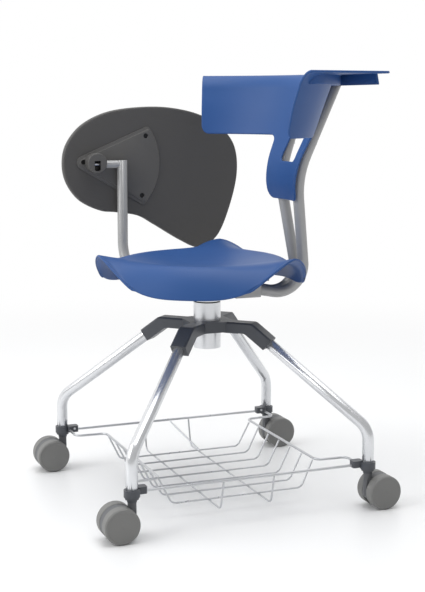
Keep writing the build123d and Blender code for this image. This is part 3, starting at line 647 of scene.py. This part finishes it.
RIB_REACH = 24.0             # of the rib's outer face beyond the inner face of the back
RIB_HALF_ANGLE = 59.5
RIB_FADE = 7.0               # degrees over which the rib's ends round off into the back
RIB_STEPS = 8
RIB_LEAST = 3.0              # how far the rib still stands out at its ends
RIB_LEAST_FACE = 2.5
RIB_SOFT = 1.6
ROLL_HALVINGS = 24


def roll_middle(angle):
    """Outward reach and height of the middle of the rolled wall under the ledge."""
    height = ROLL_START_Z + ROLL_RISE * math.sin(angle)
    return (roll_out(angle) + SHELL_T / 2 * math.cos(angle),
            height - SHELL_T / 2 * math.sin(angle))


def roll_angle(column, goal):
    """Angle at which the middle of the rolled wall comes to a reach (0) or a height (1)."""
    low, high = 0.0, math.pi / 2
    for _ in range(ROLL_HALVINGS):
        middle = (low + high) / 2
        if roll_middle(middle)[column] < goal:
            low = middle
        else:
            high = middle
    return low


def rib_section(reach):
    """Outline of the rib as (radius beyond the back, height), against the rolled wall."""
    low_z = LEDGE_Z - LIP_DROP
    start = roll_angle(1, low_z + 0.5)
    end = max(roll_angle(0, reach), start + 0.02)
    rows = [roll_middle(start + (end - start) * k / RIB_STEPS) for k in range(RIB_STEPS + 1)]
    face = max(reach, rows[0][0] + RIB_LEAST_FACE)
    return rows + [(face, low_z + RIB_SOFT), (face - 0.3 * RIB_SOFT, low_z + 0.3 * RIB_SOFT),
                   (face - RIB_SOFT, low_z), (rows[0][0] + 0.2, low_z)]


def rib_look():
    """Rib under the ledge round the outside of the back, with rounded ends."""
    radius, centre_y, _ = band_arc(ROLL_START_Z)
    least = roll_middle(roll_angle(1, LEDGE_Z - LIP_DROP))[0] + RIB_LEAST
    bm = bmesh.new()
    rings = []
    for degrees in stepped(-RIB_HALF_ANGLE, RIB_HALF_ANGLE, 1.0):
        fade = min(1.0, (RIB_HALF_ANGLE - abs(degrees)) / RIB_FADE)
        reach = least + (RIB_REACH - least) * math.sqrt(1 - (1 - fade) ** 2)
        turn = math.radians(degrees)
        rings.append([bm.verts.new(((radius + out) * math.sin(turn),
                                    centre_y + (radius + out) * math.cos(turn), z))
                      for out, z in rib_section(reach)])
    skin(bm, rings)
    finish_mesh("ledge_rib", bm, "shell_blue", "seat", (), SHARP_ANGLE)


LIP_HALF_X = 232.0
LIP_TOP_Y = (240.0, 244.0)
LIP_LEAN = 4.0               # how far the lip leans rearward towards its lower edge
LIP_SOFT = 1.2
LIP_GAP = 16.0


def lip_look():
    """Straight lip under the rear of the ledge."""
    low = LEDGE_Z - LIP_DROP
    front, rear = LIP_TOP_Y
    low_front, low_rear = front + LIP_LEAN, rear + LIP_LEAN
    section = [(front, LEDGE_Z + 1), (low_front, low + LIP_SOFT), (low_front + LIP_SOFT, low),
               (low_rear - LIP_SOFT, low), (low_rear, low + LIP_SOFT), (rear, LEDGE_Z + 1)]
    bm = bmesh.new()
    skin(bm, [[bm.verts.new((x, y, z)) for y, z in section]
              for x in stepped(-LIP_HALF_X, LIP_HALF_X, LIP_GAP)])
    finish_mesh("ledge_lip", bm, "shell_blue", "seat", (), SHARP_ANGLE)


# ---- tablet ---------------------------------------------------------------------------
JOINT_PLACES = {joint["name"]: [v / MM for v in joint["pos_m"]] for joint in frame["joints"]}
ARM_X, SPIN_Y, FLIP_Z = JOINT_PLACES["tablet_flip"]
SPIN_Z = JOINT_PLACES["tablet_spin"][2]
ARM_Y = -75.0
TABLET_Y = SPIN_Y - 1.7      # reference point of the tablet's outline
TABLET_Z = SPIN_Z - 1.3
BRACKET_X = ARM_X - 13.3
BRACKET_T = 5.0
BRACKET_BORDER_T = 2.8       # of the low border, as it stands on the tablet
TABLET_X = BRACKET_X - BRACKET_T
TABLET_T = 17.0
TABLET_EDGE_R = 4.0
TABLET_EDGE_STEPS = 5
TABLET_KNOT_PARTS = 14
TABLET_OUTLINE = (
    (-66, 0), (-56, 42), (-22, 82), (35, 109), (109, 119.5), (180, 118), (250, 102), (304, 70),
    (333, 28), (337, -35), (316, -114), (288, -170), (247, -193), (203, -176), (140, -138),
    (102, -117), (52, -108), (15, -103), (-30, -80), (-58, -42),
)
SCREW_SPOTS = ((-22.0, 2.4), (119.0, 57.4), (109.3, -72.1))
SCREW_HOLE_R = 5.7
SCREW_WELL_R = SCREW_HOLE_R - 0.4


def closed_spline(knots, parts):
    """Smooth closed curve through the knots."""
    knots = [Vector(p) for p in knots]
    rows = []
    for i in range(len(knots)):
        p0, p1 = knots[i - 1], knots[i]
        p2, p3 = knots[(i + 1) % len(knots)], knots[(i + 2) % len(knots)]
        for k in range(parts):
            t = k / parts
            rows.append(0.5 * (2 * p1 + (p2 - p0) * t + (2 * p0 - 5 * p1 + 4 * p2 - p3) * t**2
                               + (3 * p1 - p0 - 3 * p2 + p3) * t**3))
    return rows


def spin_point(p, x):
    """Point of the tablet's plane, from its place rearward and upward of the reference."""
    return Vector((x, TABLET_Y + p.x, TABLET_Z + p.y))


def anticlockwise(loop):
    """The loop in the turning sense that inset() needs."""
    area = sum(loop[i - 1].x * p.y - p.x * loop[i - 1].y for i, p in enumerate(loop))
    return loop if area > 0 else list(reversed(loop))


def plate_rings(bm, rows):
    """Rings of a plate from (loop, inset, x) rows."""
    return [[bm.verts.new(spin_point(p, x)) for p in inset(loop, inward)]
            for loop, inward, x in rows]


def tablet_look():
    """Writing surface with rounded edges."""
    outline = anticlockwise(closed_spline(TABLET_OUTLINE, TABLET_KNOT_PARTS))
    far_x = TABLET_X - TABLET_T
    r = TABLET_EDGE_R
    turns = quarter_turn(TABLET_EDGE_STEPS)
    rows = [(outline, 2 * r, TABLET_X)]
    rows += [(outline, r * (1 - math.sin(a)), TABLET_X - r * (1 - math.cos(a))) for a in turns]
    rows += [(outline, r * (1 - math.cos(a)), far_x + r * (1 - math.sin(a))) for a in turns]
    rows += [(outline, 2 * r, far_x)]
    bm = bmesh.new()
    skin(bm, plate_rings(bm, rows))
    finish_mesh("tablet_look", bm, "tablet_charcoal", "tablet", ["tablet_top"])


BRACKET_CORNERS = ((-54.5, 3.0), (126.0, 79.5), (113.5, -94.0))     # left, top, bottom
BRACKET_BULGE = (151.5, 1.5)         # furthest point of the bowed side
BRACKET_ARC_PARTS = 12
BRACKET_ARC_R = 60.0                 # rounds the joints between the parts of the bowed side
BRACKET_GAP = 3.0
BORDER_WIDTH = 6.5
BORDER_BOW = 1.2                     # width of the border along the bowed side
FIELD_INSET = 1.6                    # of the raised field's top from its foot
WELL_SIDES = 32


def bracket_loop(sides, bow, tip_r, corner_r):
    """Three-cornered outline with straight sides moved in and a bowed rear side."""
    left, top, bottom = (Vector(corner) for corner in BRACKET_CORNERS)
    bulge = Vector(BRACKET_BULGE)
    p, q = top - bulge, bottom - bulge
    twist = 2 * (p.x * q.y - p.y * q.x)
    pp, qq = p.dot(p), q.dot(q)
    centre = bulge + Vector((q.y * pp - p.y * qq, p.x * qq - q.x * pp)) / twist
    radius = (top - centre).length - bow

    def side(a, b, flip):
        """Start and direction of a straight side moved inward."""
        along = (b - a).normalized()
        inward = Vector((-along.y, along.x)) * flip
        return a + inward * sides, along

    upper, upper_dir = side(left, top, -1)
    lower, lower_dir = side(left, bottom, 1)

    def on_arc(start, direction):
        """Where a straight side meets the bowed one."""
        to = start - centre
        b = to.dot(direction)
        return start + direction * (-b + math.sqrt(b * b - to.dot(to) + radius**2))

    new_top = on_arc(upper, upper_dir)
    new_bottom = on_arc(lower, lower_dir)
    cross = upper_dir.x * lower_dir.y - upper_dir.y * lower_dir.x
    gap = lower - upper
    new_left = upper + upper_dir * ((gap.x * lower_dir.y - gap.y * lower_dir.x) / cross)
    start = math.atan2(new_bottom.y - centre.y, new_bottom.x - centre.x)
    end = math.atan2(new_top.y - centre.y, new_top.x - centre.x)
    turns = [start + (end - start) * k / BRACKET_ARC_PARTS for k in range(1, BRACKET_ARC_PARTS)]
    arc = [centre + Vector((math.cos(a), math.sin(a))) * radius for a in turns]
    mid = (new_left + new_bottom) / 2
    corners = [mid, new_bottom] + arc + [new_top, new_left, mid]
    radii = [corner_r] + [BRACKET_ARC_R] * len(arc) + [corner_r, tip_r]
    return spaced(flat_path(corners, radii), BRACKET_GAP)[:-1]


def circle(centre, radius):
    """Clockwise ring of a screw well."""
    turns = [-2 * math.pi * k / WELL_SIDES for k in range(WELL_SIDES)]
    return [Vector((centre[0] + radius * math.cos(a), centre[1] + radius * math.sin(a)))
            for a in turns]


def bracket_look():
    """Plate with a low border along its straight sides, a raised field and three screw wells."""
    base = anticlockwise(bracket_loop(0.0, 0.0, tip_r=15.0, corner_r=8.0))
    field = anticlockwise(bracket_loop(BORDER_WIDTH, BORDER_BOW, tip_r=8.0, corner_r=6.5))
    count = max(len(base), len(field))
    base = [ring_at(base, i / count) for i in range(count)]
    shift = min(range(len(field)), key=lambda i: (field[i] - base[0]).length)
    field = field[shift:] + field[:shift]
    field = [ring_at(field, i / count) for i in range(count)]
    low_x = TABLET_X + BRACKET_BORDER_T
    bm = bmesh.new()
    rings = plate_rings(bm, (
        (base, 0.0, TABLET_X), (base, 0.0, low_x - 0.8), (base, 0.3, low_x - 0.2),
        (base, 0.9, low_x), (field, -0.6, low_x), (field, 0.0, low_x + 0.3),
        (field, 0.9, BRACKET_X - 0.3), (field, FIELD_INSET, BRACKET_X)))
    bands(bm, rings)
    bm.faces.new(rings[0])
    wells = [circle(spot, SCREW_HOLE_R) for spot in SCREW_SPOTS]
    flat, faces = triangulate([inset(field, FIELD_INSET)] + wells, [])
    verts = [bm.verts.new(spin_point(p, BRACKET_X)) for p in flat]
    for face in faces:
        bm.faces.new([verts[i] for i in face])
    for spot in SCREW_SPOTS:
        rings = [[bm.verts.new(spin_point(p, x)) for p in circle(spot, radius)]
                 for radius, x in ((SCREW_HOLE_R, BRACKET_X), (SCREW_WELL_R, BRACKET_X - 0.5),
                                   (SCREW_WELL_R, TABLET_X + 0.4))]
        bands(bm, rings)
        bm.faces.new(rings[-1])
    finish_mesh("bracket_look", bm, "drum_grey", "tablet", ["tablet_bracket"], 28)


# ---- tubes ----------------------------------------------------------------------------
TUBE_R = 11.1
LEG_XY = 237.0
LEG_BEND_Z = 155.0
LEG_SLOPE = 36.5
LEG_BEND_R = 45.0
LEG_INNER_R = 100.0
LEG_FOOT_Z = 78.0
TUBE_SIDES = 40
BEND_STEP = 4.0              # degrees
BACK_TUBE = ((15, 60, 409), (13, 210, 380), (40.5, 175.2, 625.5), (66.5, 244.5, 806))
BACK_TUBE_BENDS = (52.0, 180.0)
ARM_Z = 393.0
ARM_START_R = 27.5           # distance of the arm's inner end from the column's axis
ARM_TOP = 8.0                # of the arm's upper end above the stub's axis
ARM_BEND_R = 80.0


def tube(name, points, bends, slot, body, replaced):
    """Frame tube through the points, with a bend radius at each inner one."""
    bm = bmesh.new()
    round_bar(bm, arc_path(points, bends, BEND_STEP), TUBE_R, TUBE_SIDES)
    finish_mesh(name, bm, slot, body, [replaced])


def legs():
    """Each leg runs straight out from the hub, bends and goes down to its caster."""
    foot_r = LEG_XY * math.sqrt(2)
    inner_z = LEG_BEND_Z + (foot_r - LEG_INNER_R) * math.tan(math.radians(LEG_SLOPE))
    inner = LEG_INNER_R / math.sqrt(2)
    for name, (sx, sy) in CORNERS.items():
        points = [(sx * inner, sy * inner, inner_z), (sx * LEG_XY, sy * LEG_XY, LEG_BEND_Z),
                  (sx * LEG_XY, sy * LEG_XY, LEG_FOOT_Z)]
        tube("leg_look_" + name, points, (LEG_BEND_R,), "leg_silver", "base", "leg_" + name)


def back_tubes():
    """From under the seat, round its rear and up behind the back."""
    for name, side in (("left", 1), ("right", -1)):
        points = [(side * x, y, z) for x, y, z in BACK_TUBE]
        tube("back_tube_look_" + name, points, BACK_TUBE_BENDS, "frame_grey", "seat",
             "back_tube_" + name)


def arm():
    """Arm tube, from under the seat out and up to the stub."""
    scale = ARM_START_R / math.hypot(ARM_X, ARM_Y)
    points = [(ARM_X * scale, ARM_Y * scale, ARM_Z), (ARM_X, ARM_Y, ARM_Z),
              (ARM_X, ARM_Y, FLIP_Z + ARM_TOP)]
    tube("arm_look", points, (ARM_BEND_R,), "arm_grey", "arm", "arm_tube")


# Black box in the drum's window: painted shade standing in for the shade inside the window's hollow.
SHADE_BOX = (13.1, 21.4, 14.8)   # width, height and depth of the window's inside
SHADE_BOX_TOP = 4.7              # above the spigot's axis
SHADE_BOX_WALL = 0.5
SHADE_BOX_BACK = 0.6
SHADE_BOX_SET_BACK = 1.4         # of its walls from the drum's face
DRUM_FACE_X = ARM_X + 13.0


def window_shade_box():
    """Painted shade in the drum's window: a black box of a back and four walls, standing in for the
    shade in the window's hollow.
    """
    width, height, depth = SHADE_BOX
    half, wall = width / 2, SHADE_BOX_WALL
    deep_x, front_x = DRUM_FACE_X - depth, DRUM_FACE_X - SHADE_BOX_SET_BACK
    low = SPIN_Z + SHADE_BOX_TOP - height
    boxes = [((deep_x, -half, 0), (deep_x + SHADE_BOX_BACK, half, height)),
             ((deep_x, -half, 0), (front_x, -half + wall, height)),
             ((deep_x, half - wall, 0), (front_x, half, height)),
             ((deep_x, -half, height - wall), (front_x, half, height)),
             ((deep_x, -half, 0), (front_x, half, wall))]
    bm = bmesh.new()
    for near, far in boxes:
        for v in bmesh.ops.create_cube(bm, size=1.0)["verts"]:
            x, y, z = (far[k] if v.co[k] > 0 else near[k] for k in range(3))
            v.co = Vector((x, SPIN_Y + y, low + z))
    finish_mesh("drum_window_painted_shade", bm, "black_plastic", "flip", (), 30)


# ---- floor, light and camera ----------------------------------------------------------
FLOOR_SIZE = 60.0
FLOOR_FADE = (0.9, 2.6)      # distances from the chair between which the floor turns white
WALL_X = -7.0
LAMP_SIZE = 2.4
LENS = 75.29
CAMERA_PLACE = (2.25603, -0.88915, 0.76797)
CAMERA_AIM = (-0.91767, 0.36640, -0.15369)


def plane(name, location, shader):
    """Large square that is part of the stage."""
    bpy.ops.mesh.primitive_plane_add(size=FLOOR_SIZE, location=location)
    made = bpy.context.object
    made.name = name
    made.data.materials.append(shader.material)
    return made


def floor():
    """Pale floor that fades to white with distance."""
    look = Shader("floor_pale", (0.83, 0.835, 0.84), 0.4)
    distance = look.tree.nodes.new("ShaderNodeVectorMath")
    distance.operation = "LENGTH"
    look.tree.links.new(look.coords, distance.inputs[0])
    fade = look.tree.nodes.new("ShaderNodeMapRange")
    fade.interpolation_type = "SMOOTHSTEP"
    fade.inputs["From Min"].default_value = FLOOR_FADE[0]
    fade.inputs["From Max"].default_value = FLOOR_FADE[1]
    look.tree.links.new(distance.outputs["Value"], fade.inputs["Value"])
    mix = look.tree.nodes.new("ShaderNodeMixShader")
    look.tree.links.new(fade.outputs["Result"], mix.inputs[0])
    look.tree.links.new(look.bsdf.outputs["BSDF"], mix.inputs[1])
    look.tree.links.new(look.glow(), mix.inputs[2])
    look.surface(mix.outputs["Shader"])
    plane("floor", (0, 0, 0), look)


def backdrop():
    """White wall far behind the chair."""
    look = Shader("backdrop_white", (1.0, 1.0, 1.0), 1.0)
    look.surface(look.glow())
    plane("backdrop", (WALL_X, 0, 0), look).rotation_euler = (0, math.pi / 2, 0)


def area_light(name, location, target_z, energy):
    """Square softbox that looks at a height of the chair's axis."""
    data = bpy.data.lights.new(name, "AREA")
    data.size = LAMP_SIZE
    data.energy = energy
    lamp = bpy.data.objects.new(name, data)
    lamp.location = location
    aim = Vector((0, 0, target_z)) - Vector(location)
    lamp.rotation_euler = aim.to_track_quat("-Z", "Y").to_euler()
    bpy.context.collection.objects.link(lamp)


def world(strength):
    """Even white light from all round."""
    scene_world = bpy.data.worlds.new("studio")
    scene_world.use_nodes = True
    back = scene_world.node_tree.nodes["Background"]
    back.inputs["Color"].default_value = (1.0, 1.0, 1.0, 1.0)
    back.inputs["Strength"].default_value = strength
    bpy.context.scene.world = scene_world


def camera():
    """From the sitter's front left, a little above the seat."""
    data = bpy.data.cameras.new("camera")
    data.lens = LENS
    data.sensor_width = 36.0
    data.clip_end = 200.0
    eye = bpy.data.objects.new("camera", data)
    eye.location = CAMERA_PLACE
    eye.rotation_euler = Vector(CAMERA_AIM).to_track_quat("-Z", "Y").to_euler()
    bpy.context.collection.objects.link(eye)
    bpy.context.scene.camera = eye


seat_look()
back_look()
rib_look()
lip_look()
tablet_look()
bracket_look()
legs()
back_tubes()
arm()
# Painted shade: the black box inside the drum's window.
window_shade_box()
floor()
backdrop()
world(strength=0.50)
area_light("key", (0.0, -3.0, 2.3), target_z=0.5, energy=58)
area_light("top", (0.2, 0.2, 3.2), target_z=0.4, energy=56)
camera()
bpy.context.scene.view_settings.view_transform = "Standard"
